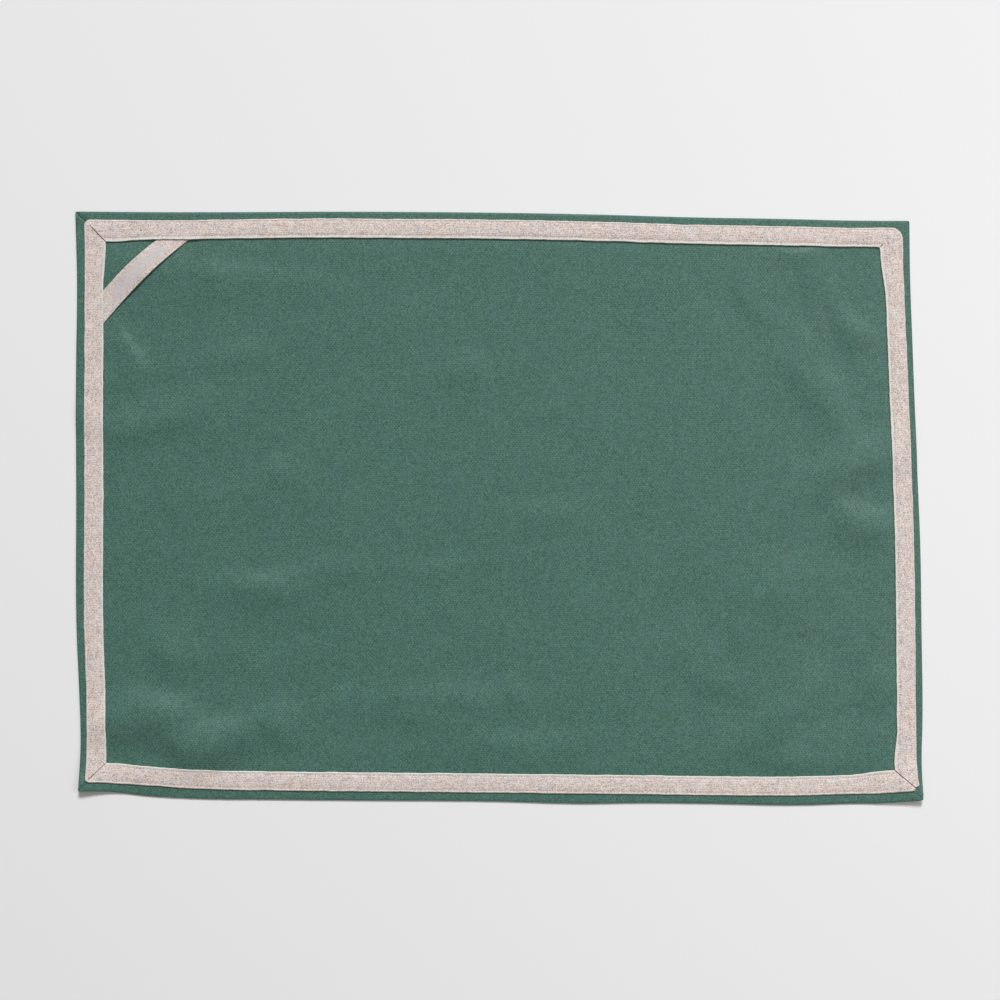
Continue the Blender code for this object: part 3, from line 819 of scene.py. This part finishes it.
def tape_route():
    """All cross lines of the tape, from the lower right ends clockwise back to them."""
    bottom = run_lines(0, -1)[::-1]
    left = run_lines(-1, 0)
    top = run_lines(0, 1)
    right = run_lines(1, 0)[::-1]
    lines = led_in(end_half(LOWER_RIGHT, BOTTOM_END, True), bottom[0])
    for corner, run, next_run in ((LOWER_LEFT, bottom, left), (UPPER_LEFT, left, top),
                                  (UPPER_RIGHT, top, right)):
        from_x_run = run is not left
        lines += run
        lines += led_in(turn_half(corner, from_x_run), run[-1])[::-1]
        lines += led_in(turn_half(corner, not from_x_run), next_run[0])[1:]
    lines += right
    lines += led_in(end_half(LOWER_RIGHT, RIGHT_END, False), right[-1])[::-1]
    return lines


def over_loop(x, y):
    """1 where a run of tape passes over an end of the loop, fading to 0 beside it."""
    x0, y0, x1, y1, _ = (np.array(LOOP_UPPER) + np.array(LOOP_LOWER)) / 2.0
    run_x = x1 - x0
    run_y = y1 - y0
    aside = np.abs((y - y0) * run_x - (x - x0) * run_y) / math.hypot(run_x, run_y)
    fade = (LOOP_COVER_FADE - aside) / (LOOP_COVER_FADE - LOOP_COVER_FLAT)
    return np.clip(fade, 0.0, 1.0)


def corner_bulk(a, b):
    """How far the layers folded under the tape at each corner lift it."""
    lift = np.zeros_like(a)
    for corner in CORNERS:
        outer_a, outer_b, inner_a, inner_b = corner_insets(corner)
        middle_a = corner.side_x * (HALF_LENGTH - (outer_a + inner_a) / 2.0)
        middle_b = corner.side_y * (HALF_WIDTH - (outer_b + inner_b) / 2.0)
        lift += corner.bulk * swell(np.hypot(a - middle_a, b - middle_b) / BULK_REACH)
    return lift


def tape_seat(a, b, share, hem_share):
    """What the tape lies on: the hem, the field inside it, or an end of the loop."""
    down = np.clip((share - hem_share) / (1.0 - hem_share), 0.0, 1.0)
    seat = 2.0 * LAYER_STEP - LAYER_STEP * down
    on_loop = LAYER_STEP + LOOP_TOP + TAPE_LIFT
    x, y = place(a, b)
    over = np.where(share >= hem_share, np.maximum(on_loop - seat, 0.0) * over_loop(x, y), 0.0)
    return seat + over + corner_bulk(a, b) + TAPE_LIFT


def woven_strip(name, stations, lines):
    """A closed strip made from a flat grid, with each point's station, line and upper side."""
    deselect()
    bpy.ops.mesh.primitive_grid_add(x_subdivisions=stations - 1, y_subdivisions=lines - 1, size=1.0)
    strip = bpy.context.object
    strip.name = name
    layer = strip.modifiers.new("two_sides", "SOLIDIFY")
    layer.thickness = FIRST_GAP
    layer.offset = 1.0
    bpy.ops.object.modifier_apply(modifier="two_sides")
    along, across, height = points_of(strip) * MM
    station = np.rint((along + 0.5) * (stations - 1)).astype(int)
    line = np.rint((across + 0.5) * (lines - 1)).astype(int)
    return strip, station, line, height > FIRST_GAP / 2.0


route = tape_route()
route_parts = [np.array(part) for part in zip(*route)]
route_outer, route_inner, route_groove, route_groove_from, route_leg = route_parts


def waver(along, seed):
    """How a tape's edge strays from its line, along the tape."""
    slow = grain(along, along * 0.0, EDGE_WAVER_WIDTH, seed)
    fast = grain(along, along * 0.0, EDGE_FUZZ_WIDTH, seed + 5.3)
    return EDGE_WAVER * slow + EDGE_FUZZ * fast


middle_line = (route_outer + route_inner) / 2.0
route_along = np.concatenate(([0.0], np.cumsum(np.hypot(*np.diff(middle_line, axis=0).T))))
across = route_inner - route_outer
across_unit = across / np.hypot(*across.T)[:, None]
route_outer = route_outer + across_unit * waver(route_along, seed=21.0)[:, None]
route_inner = route_inner + across_unit * waver(route_along, seed=33.0)[:, None]


def tape_point(station, share):
    """A point of the tape in the true rectangle, and the share of its width that lies on the hem."""
    outer_x, outer_y = route_outer[station].T
    inner_x, inner_y = route_inner[station].T
    a = outer_x + (inner_x - outer_x) * share
    b = outer_y + (inner_y - outer_y) * share
    outer_inset = inset_of(outer_x, outer_y)
    hem_share = (HEM_TURN_IN + HEM_STEP - outer_inset) / (inset_of(inner_x, inner_y) - outer_inset)
    return a, b, hem_share


def groove_at(station, share):
    """How deep the mitre at a corner sinks the tape."""
    shows = np.clip((share - route_groove_from[station]) / GROOVE_FADE, 0.0, 1.0)
    inside = np.minimum(share, 1.0 - share) > GROOVE_MARGIN
    return route_groove[station] * shows * inside


# The tape puckers, mostly upwards, between its two rows of sewing.
PUCKERS = (Swell(0.13, 5.0), Swell(0.09, 2.4))
PUCKER_MARGIN = 0.7
section = [(line.inset / TAPE_WIDTH, line.low, line.high) for line in OUTER_SECTION]
section += [(1.0 - line.inset / TAPE_WIDTH, line.low, line.high) for line in INNER_SECTION[::-1]]
section_share, section_low, section_high = (np.array(column) for column in zip(*section))
tape, station, line, upper = woven_strip("linen_edging", len(route), len(section))
share = section_share[line]
a, b, hem_share = tape_point(station, share)
seam = TAPE_SEAM_HALF + TAPE_SEAM_WAVE * grain(a + b, share, TAPE_SEAM_WAVE_WIDTH, seed=6.2)
a = a - np.where(station == 0, seam, 0.0)
b = b + np.where(station == len(route) - 1, seam, 0.0)
x, y = place(a, b)
ground = lie(x, y) + tape_seat(a, b, share, hem_share)
puckered = np.zeros_like(x)
for number, (rise, width) in enumerate(PUCKERS):
    puckered += rise * (SWELLS_UP + grain(x, y, width, seed=14.3 + number))
between_edges = np.clip(np.minimum(share, 1.0 - share) * TAPE_WIDTH / PUCKER_MARGIN, 0.0, 1.0)
high = section_high[line] - groove_at(station, share) + puckered * between_edges
put_points(tape, x, y, ground + np.where(upper, high, section_low[line]))

# Where the tape is folded into a mitre, its fold is darkened with painted shade, because light hardly
# reaches it.
crease_shade_marks = tape.data.attributes.new(name="crease_shade", type="FLOAT", domain="POINT")
crease_shade_marks.data.foreach_set("value", groove_at(station, share) / DEEPEST_MITRE)


def points_at_corners(strip):
    """The point at each corner of each face, in the order of the UV map."""
    return np.array([corner.vertex_index for corner in strip.data.loops])


def map_weave(strip, along, across):
    """A UV map in metres: along the strip, and across it from its outer edge."""
    weave_map = strip.data.uv_layers.new(name="weave")
    weave_map.data.foreach_set("uv", (np.stack((along, across), axis=1) * MM).ravel())


# Along each run the map follows the run's own axis, which changes at the middle of a corner.
corner_points = points_at_corners(tape)
face_sizes = np.array([face.loop_total for face in tape.data.polygons])
face_starts = np.concatenate(([0], np.cumsum(face_sizes)[:-1]))
face_station = np.floor(np.add.reduceat(station[corner_points], face_starts) / face_sizes).astype(int)
along_x = (route_leg[:, 1] != 0)[np.repeat(face_station, face_sizes)]
weave_along = np.where(along_x, a[corner_points], b[corner_points])
map_weave(tape, weave_along, share[corner_points] * TAPE_WIDTH)
finish_mesh(tape, smooth_angle=50)

# Natural linen, plain woven and undyed: matt, pinkish beige, streaked along its threads with paler
# and browner flecks, and paler along the inner selvedge. Its threads are about 0.45 mm apart and
# are drawn 0.9 mm apart, and its fibre ends 0.36 mm wide, so that they show.
LINEN_TONES = Tones("83726A", "D9CFC9", "EFE9E4", 1.25, 0.9)
PINK_FLECK_HEX = "FFE7D4"
GREY_FLECK_HEX = "EAF0FA"
PALE_EDGE_HEX = "E0E1DA"
WARM_EDGE_HEX = "DECFC6"
# The colour of the painted shade in each mitre's fold.
CREASE_SHADE_HEX = "6A5248"
LINEN_THREAD = 0.9
LINEN_WANDER = 0.4
LINEN_WANDER_WIDTH = 9.0
LINEN_FIBRE = 0.36
LINEN_SLUB = 5.0
LINEN_PATCH = 3.4
STREAKS_PER_MM = (0.16, 1.1, 1.0)
FLECK_FIBRE = 0.25
SELVEDGE = 0.6


def flat_linen(tree):
    """Natural linen's colour and relief on a strip's UV map, which runs along it and across it."""
    in_metres = node(tree, "UVMap", {"uv_map": "weave"}).outputs["UV"]
    in_mm = node(tree, "VectorMath", {"operation": "SCALE"}, i0=in_metres, Scale=1.0 / MM).outputs[0]
    bent = strayed(tree, in_mm, LINEN_WANDER, LINEN_WANDER_WIDTH)
    top_thread, _, crown = plain_weave(tree, bent, LINEN_THREAD, LINEN_THREAD, LINEN_SLUB)
    fibres = fibre_ends(tree, in_mm, LINEN_FIBRE).outputs["Color"]
    fibre = node(tree, "SeparateColor", Color=fibres).outputs
    lengthwise = node(tree, "Mapping", Vector=in_mm, Scale=STREAKS_PER_MM).outputs[0]
    streak = soft_patches(tree, lengthwise, 1.0)
    patch = soft_patches(tree, in_mm, LINEN_PATCH)
    colour = three_tones(tree, LINEN_TONES, (
        Counted(fibre[0], 1.2), Counted(top_thread, 0.3),
        Counted(streak[0], 0.5), Counted(patch[0], 0.5),
    ))
    pinkish = node(tree, "Math", {"operation": "MULTIPLY_ADD"}, i0=fibre[1], i1=FLECK_FIBRE,
                   i2=streak[1]).outputs[0]
    greyish = node(tree, "Math", {"operation": "MULTIPLY_ADD"}, i0=fibre[2], i1=FLECK_FIBRE,
                   i2=patch[1]).outputs[0]
    colour = tinted(tree, colour, (
        Tint(pinkish, 0.5, 0.95, 0.8, PINK_FLECK_HEX, "MULTIPLY"),
        Tint(greyish, 0.5, 0.95, 0.8, GREY_FLECK_HEX, "MULTIPLY"),
    ))
    relief = crown
    for pattern, weight in (Counted(top_thread, 0.8), Counted(streak[0], 0.9)):
        relief = node(tree, "Math", {"operation": "MULTIPLY_ADD"}, i0=pattern, i1=weight,
                      i2=relief).outputs[0]
    return in_mm, colour, relief


def linen_shader(tree, colour, relief):
    """The matt surface of the linen."""
    bump = node(tree, "Bump", Strength=0.4, Distance=0.2 * MM, Height=relief).outputs[0]
    shader = node(tree, "BsdfPrincipled", Base_Color=colour, Roughness=0.9, Normal=bump,
                  Specular_IOR_Level=0.2, Sheen_Weight=0.05, Sheen_Roughness=0.5)
    node(tree, "OutputMaterial", Surface=shader.outputs["BSDF"])


edging_linen = new_material("natural_linen_tape_plain_woven")
tree = edging_linen.node_tree
in_mm, colour, relief = flat_linen(tree)
across = node(tree, "SeparateXYZ", Vector=in_mm).outputs[1]
crease_shade = node(tree, "Attribute", {"attribute_name": "crease_shade"}).outputs["Fac"]
colour = tinted(tree, colour, (
    Tint(across, TAPE_WIDTH - 2.0 * SELVEDGE, TAPE_WIDTH - SELVEDGE, 0.6, PALE_EDGE_HEX, "MIX"),
    Tint(across, 2.0 * SELVEDGE, SELVEDGE, 0.3, WARM_EDGE_HEX, "MIX"),
    # Painted shade in each mitre's fold, darker the deeper its groove.
    Tint(crease_shade, 0.0, 1.0, 0.7, CREASE_SHADE_HEX, "MIX"),
))
linen_shader(tree, colour, relief)
tape.data.materials.append(edging_linen)
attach(tape, "root")
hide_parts("edge_tape")

# ------------------------------------------------
# Corner loop. A short length of linen tape, laid across the upper left corner. Its two ends are
# caught under the edging, its middle stands a little off the cloth, and its face is bare.
# ------------------------------------------------
LOOP_LENGTH = 80.0
LOOP_WIDTH = 10.7
LOOP_STATIONS = 90
LOOP_ARCH = 1.0
LOOP_RIPPLE = Swell(0.12, 7.0)
LOOP_SECTION = (
    Line(0.0, 0.12, 0.34),
    Line(0.12, 0.02, 0.46),
    Line(0.4, 0.0, 0.52),
    Line(0.8, 0.0, 0.47),
    Line(1.3, 0.0, 0.49),
    Line(3.2, 0.0, 0.50),
    Line(5.0, 0.0, 0.50),
)


def edge_point(edge, share):
    """Points along one of the loop's bowed edges."""
    run_x = edge.x1 - edge.x0
    run_y = edge.y1 - edge.y0
    length = math.hypot(run_x, run_y)
    bow = 4.0 * edge.bow * share * (1.0 - share)
    x = edge.x0 + run_x * share - run_y / length * bow
    y = edge.y0 + run_y * share + run_x / length * bow
    return x, y


loop_lines = [(line.inset / LOOP_WIDTH, line.low, line.high) for line in LOOP_SECTION]
loop_lines += [(1.0 - share, low, high) for share, low, high in loop_lines[::-1]]
loop_share, loop_low, loop_high = (np.array(column) for column in zip(*loop_lines))
loop, station, line, upper = woven_strip("linen_corner_loop", LOOP_STATIONS, len(loop_lines))
share = loop_share[line]
along = station / (LOOP_STATIONS - 1)
upper_x, upper_y = edge_point(LOOP_UPPER, along)
lower_x, lower_y = edge_point(LOOP_LOWER, along)
x = upper_x + (lower_x - upper_x) * share
y = upper_y + (lower_y - upper_y) * share
arch = np.sin(math.pi * along) ** 2
ripple = LOOP_RIPPLE.height * (SWELLS_UP + grain(x, y, LOOP_RIPPLE.width, seed=2.9)) * arch
ground = lie(x, y) + LAYER_STEP + TAPE_LIFT + LOOP_ARCH * arch
put_points(loop, x, y, ground + ripple + np.where(upper, loop_high[line], loop_low[line]))
corner_points = points_at_corners(loop)
map_weave(loop, along[corner_points] * LOOP_LENGTH, share[corner_points] * LOOP_WIDTH)
finish_mesh(loop, smooth_angle=50)

# The same linen, calendered smooth along its middle, so that it is greyer and evener there.
SMOOTH_HEX = "C4BFC0"
SMOOTH_MOST = 0.65
SMOOTH_HALF_WIDTH = 2.9
SMOOTH_HALF_LENGTH = 25.0
SMOOTH_FADE = 1.0
loop_linen = new_material("natural_linen_tape_calendered")
tree = loop_linen.node_tree
in_mm, colour, relief = flat_linen(tree)
place_along, place_across, _ = node(tree, "SeparateXYZ", Vector=in_mm).outputs
smooth = SMOOTH_MOST
for loop_place, middle, half in ((place_across, LOOP_WIDTH / 2.0, SMOOTH_HALF_WIDTH),
                                 (place_along, LOOP_LENGTH / 2.0, SMOOTH_HALF_LENGTH)):
    off = node(tree, "Math", {"operation": "SUBTRACT"}, i0=loop_place, i1=middle).outputs[0]
    off = node(tree, "Math", {"operation": "ABSOLUTE"}, i0=off).outputs[0]
    within = node(tree, "MapRange", Value=off, From_Min=half + SMOOTH_FADE, From_Max=half).outputs[0]
    smooth = node(tree, "Math", {"operation": "MULTIPLY"}, i0=within, i1=smooth).outputs[0]
colour = node(tree, "Mix", {"data_type": "RGBA"}, i0=smooth, i6=colour,
              i7=(*linear(SMOOTH_HEX), 1.0)).outputs[2]
linen_shader(tree, colour, relief)
loop.data.materials.append(loop_linen)
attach(loop, "root")
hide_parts("corner_loop")

# ------------------------------------------------
# Sewing. The tape is stitched down by machine with matching linen-coloured polyester thread, in one
# row beside each of its edges. Each stitch dips into the tape at both ends.
# ------------------------------------------------
STITCH_PITCH = 2.2
STITCH_LENGTH = 1.75
STITCH_SHIFT = 0.12
STITCH_TURN = 0.05
THREAD_RADIUS = 0.14
BLUNT_ENDS = 6
STITCH_DIP = 0.16

deselect()
bpy.ops.mesh.primitive_uv_sphere_add(segments=6, ring_count=6, radius=0.5)
stitch = bpy.context.object
bpy.ops.object.mode_set(mode="EDIT")
bpy.ops.mesh.select_all(action="SELECT")
bpy.ops.transform.rotate(value=math.radians(90), orient_axis="Y", center_override=(0.0, 0.0, 0.0))
bpy.ops.object.mode_set(mode="OBJECT")
along, aside, up = 2.0 * points_of(stitch) * MM
ball_radius = np.sqrt(np.maximum(1.0 - along ** 2, 0.001))
thread_radius = THREAD_RADIUS * np.sqrt(np.maximum(1.0 - along ** BLUNT_ENDS, 0.0)) / ball_radius
stitch_points = np.stack((along * STITCH_LENGTH / 2.0, aside * thread_radius,
                          up * thread_radius - STITCH_DIP * along ** 2), axis=1)
stitch_faces = [list(face.vertices) for face in stitch.data.polygons]
bpy.data.objects.remove(stitch, do_unlink=True)

# Spun polyester thread, two-ply and left unglazed: a matt beige a little darker than the tape, with a
# painted highlight on each ply's crown. Its plies are 0.3 mm apart and are drawn 0.6 mm apart to show.
THREAD_HEX = "A39286"
THREAD_HIGHLIGHT_HEX = "BFAFA3"
PLY_STEP = 0.6
DYE_SPOT = 2.5
thread = new_material("polyester_thread_spun_two_ply")
tree = thread.node_tree
in_metres = node(tree, "TexCoord").outputs["Object"]
in_mm = node(tree, "VectorMath", {"operation": "SCALE"}, i0=in_metres, Scale=1.0 / MM).outputs[0]
ply = node(tree, "TexWave", {"bands_direction": "DIAGONAL"}, Vector=in_mm, Scale=0.5 / PLY_STEP,
           Distortion=1.5, Detail=1.0).outputs["Fac"]
uneven_dye = node(tree, "TexNoise", Vector=in_mm, Scale=1.0 / DYE_SPOT, Detail=2.0).outputs["Fac"]
# Each ply's crown gets a painted highlight, stronger where the dye runs lighter.
tone = node(tree, "Math", {"operation": "MULTIPLY"}, i0=ply, i1=uneven_dye).outputs[0]
colour = node(tree, "Mix", {"data_type": "RGBA"}, i0=tone, i6=(*linear(THREAD_HEX), 1.0),
              i7=(*linear(THREAD_HIGHLIGHT_HEX), 1.0)).outputs[2]
bump = node(tree, "Bump", Strength=0.5, Distance=0.05 * MM, Height=ply).outputs[0]
shader = node(tree, "BsdfPrincipled", Base_Color=colour, Roughness=0.6, Normal=bump)
node(tree, "OutputMaterial", Surface=shader.outputs["BSDF"])


def stitch_row(name, row_share, seed):
    """One row of stitches along the tape, at a fixed share of its width."""
    stations = np.arange(len(route))
    shares = np.full(len(route), row_share)
    a, b, hem_share = tape_point(stations, shares)
    x, y = place(a, b)
    top = np.interp(row_share, section_share, section_high) - groove_at(stations, shares)
    z = lie(x, y) + tape_seat(a, b, shares, hem_share) + top
    run = np.concatenate(([0.0], np.cumsum(np.hypot(np.diff(x), np.diff(y)))))
    centres = np.arange(STITCH_PITCH, run[-1] - STITCH_PITCH, STITCH_PITCH)
    shaker = np.random.default_rng(seed)
    centres = centres + shaker.uniform(-STITCH_SHIFT, STITCH_SHIFT, len(centres))
    ends = centres + np.array([[-0.5], [0.0], [0.5]]) * STITCH_LENGTH
    px, py, pz = (np.interp(ends, run, values)[:, :, None] for values in (x, y, z))
    turn = np.arctan2(py[2] - py[0], px[2] - px[0])
    turn = turn + shaker.uniform(-STITCH_TURN, STITCH_TURN, (len(centres), 1))
    forward, aside, up = stitch_points.T
    moved_x = px[1] + (forward * np.cos(turn) - aside * np.sin(turn))
    moved_y = py[1] + (forward * np.sin(turn) + aside * np.cos(turn))
    moved_z = pz[1] + (up + forward * (pz[2] - pz[0]) / STITCH_LENGTH)
    points = np.stack((moved_x, moved_y, moved_z), axis=2).reshape(-1, 3) * MM
    faces = [[first + v for v in face] for first in range(0, len(points), len(stitch_points))
             for face in stitch_faces]
    data = bpy.data.meshes.new(name)
    data.from_pydata(points.tolist(), [], faces)
    row = bpy.data.objects.new(name, data)
    bpy.context.collection.objects.link(row)
    data.materials.append(thread)
    finish_mesh(row, smooth_angle=60)
    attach(row, "root")
    return row


outer_row = stitch_row("outer_row_of_stitches", OUTER_SEWING / TAPE_WIDTH, seed=5)
inner_row = stitch_row("inner_row_of_stitches", 1.0 - INNER_SEWING / TAPE_WIDTH, seed=8)
